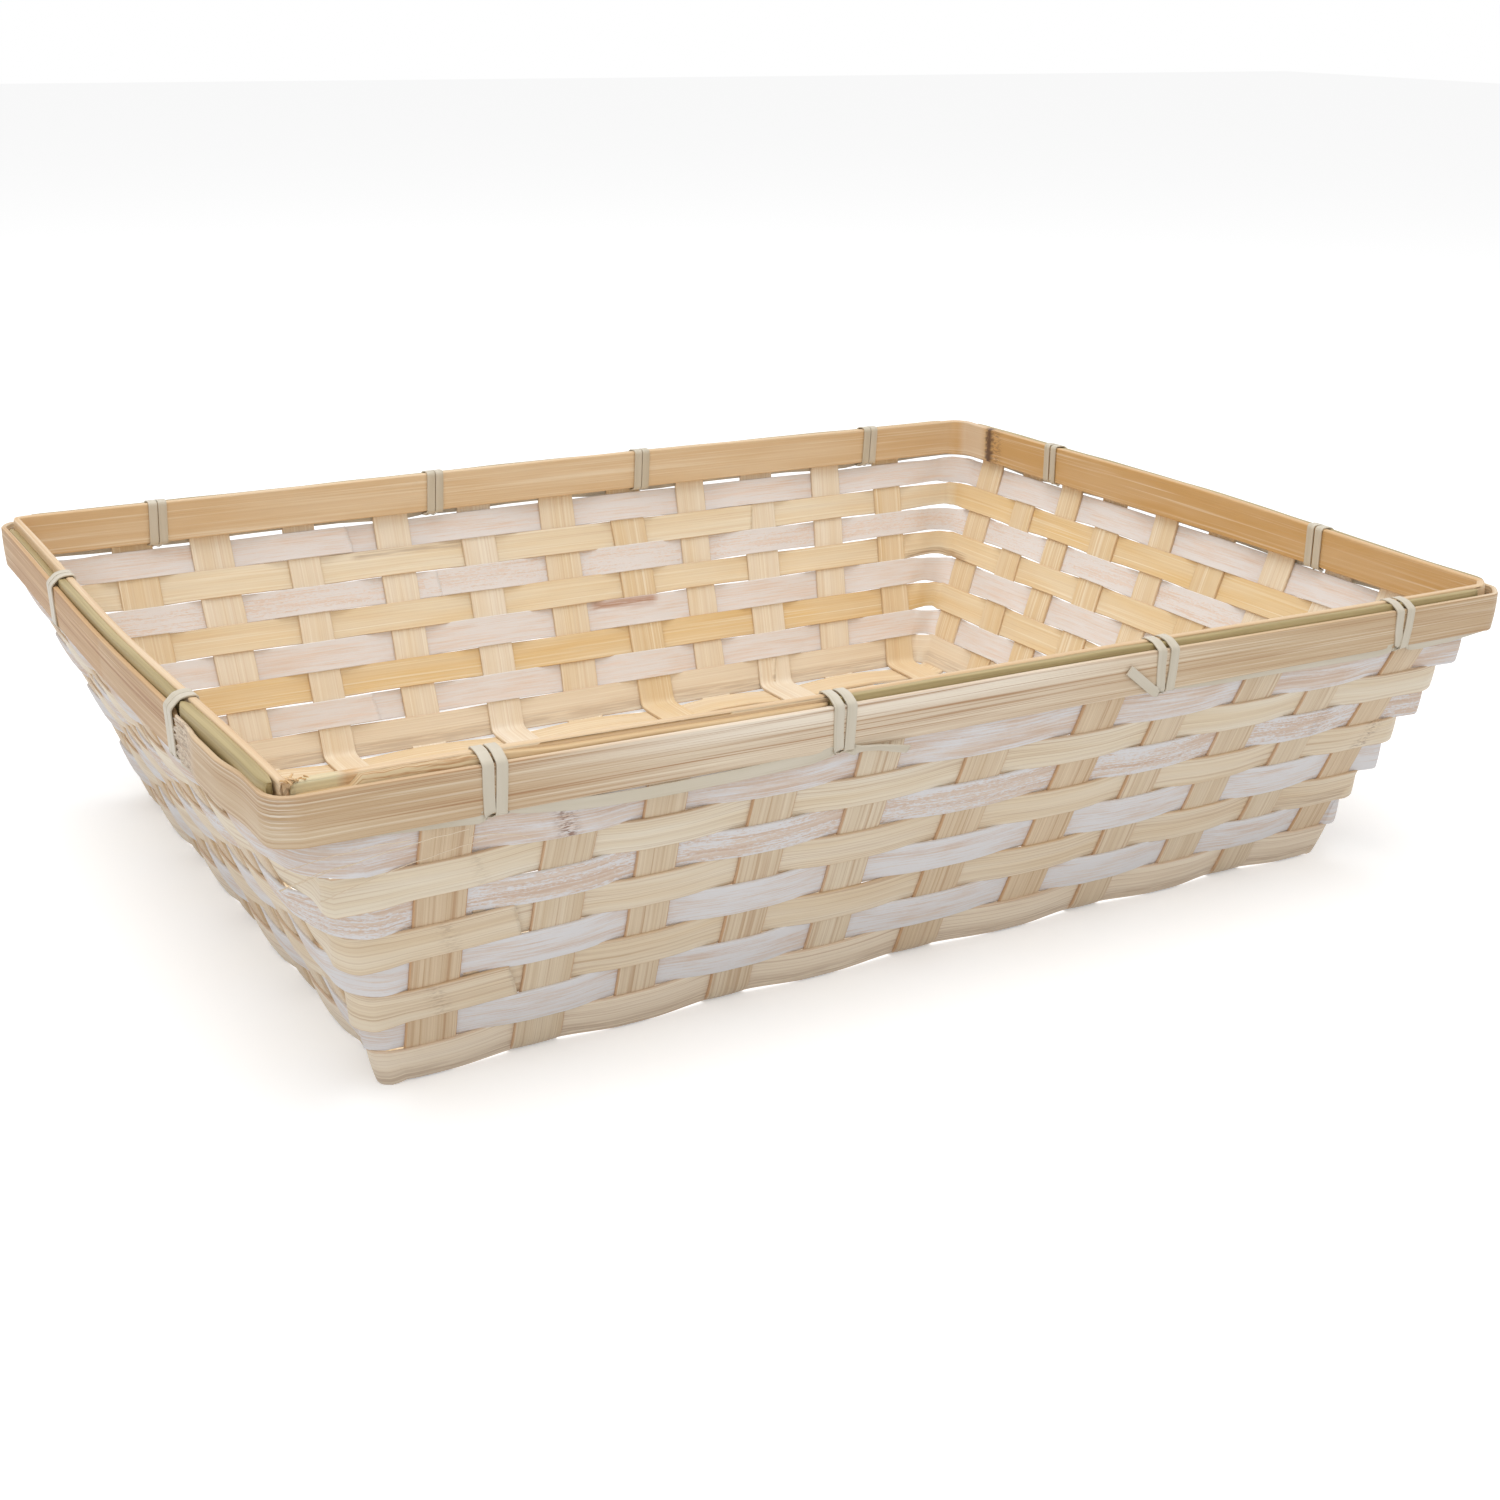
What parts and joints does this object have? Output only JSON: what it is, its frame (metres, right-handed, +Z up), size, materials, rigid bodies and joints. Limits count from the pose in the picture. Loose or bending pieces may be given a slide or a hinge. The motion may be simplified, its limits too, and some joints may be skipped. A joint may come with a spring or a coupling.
{
  "type": "woven bamboo basket",
  "caption": "Open rectangular basket of flat bamboo splints in plain weave, with walls that lean outwards and a rim of two slats bound by a flat strip; it stands on its woven base.",
  "frame": {"origin": "middle of the underside of the woven base, on the surface that the basket stands on", "axes": "+X along the long side, +Y from front to back, +Z up"},
  "size_m": [0.4528, 0.3328, 0.1105],
  "materials": {
    "stake_splint": "bare split bamboo, satin",
    "natural_splint": "bare split bamboo, satin",
    "limed_splint": "thin white wash, grain showing through, matt",
    "outer_slat": "bare split bamboo, satin",
    "inner_slat": "bare split bamboo, satin",
    "rim_filler": "bamboo with its green skin, slightly glossy",
    "lashing": "smooth flat strip, satin"
  },
  "bodies": {
    "root": {"cross_stake_01": "stake_splint", "cross_stake_02": "stake_splint", "cross_stake_03": "stake_splint", "cross_stake_04": "stake_splint", "cross_stake_05": "stake_splint", "cross_stake_06": "stake_splint", "cross_stake_07": "stake_splint", "cross_stake_08": "stake_splint", "cross_stake_09": "stake_splint", "cross_stake_10": "stake_splint", "cross_stake_11": "stake_splint", "length_stake_01": "stake_splint", "length_stake_02": "stake_splint", "length_stake_03": "stake_splint", "length_stake_04": "stake_splint", "length_stake_05": "stake_splint", "length_stake_06": "stake_splint", "length_stake_07": "stake_splint", "length_stake_08": "stake_splint", "length_stake_09": "stake_splint", "weaver_limed_01": "limed_splint", "weaver_natural_02": "natural_splint", "weaver_limed_03": "limed_splint", "weaver_natural_04": "natural_splint", "weaver_limed_05": "limed_splint", "weaver_natural_06": "natural_splint", "weaver_limed_07": "limed_splint", "weaver_natural_08": "natural_splint", "rim_outer_slat": "outer_slat", "rim_inner_slat": "inner_slat", "rim_filler_01": "rim_filler", "rim_filler_02": "rim_filler", "rim_filler_03": "rim_filler", "rim_filler_04": "rim_filler", "rim_filler_05": "rim_filler", "rim_filler_06": "rim_filler", "rim_lashing": "lashing"}
  },
  "joints": []
}
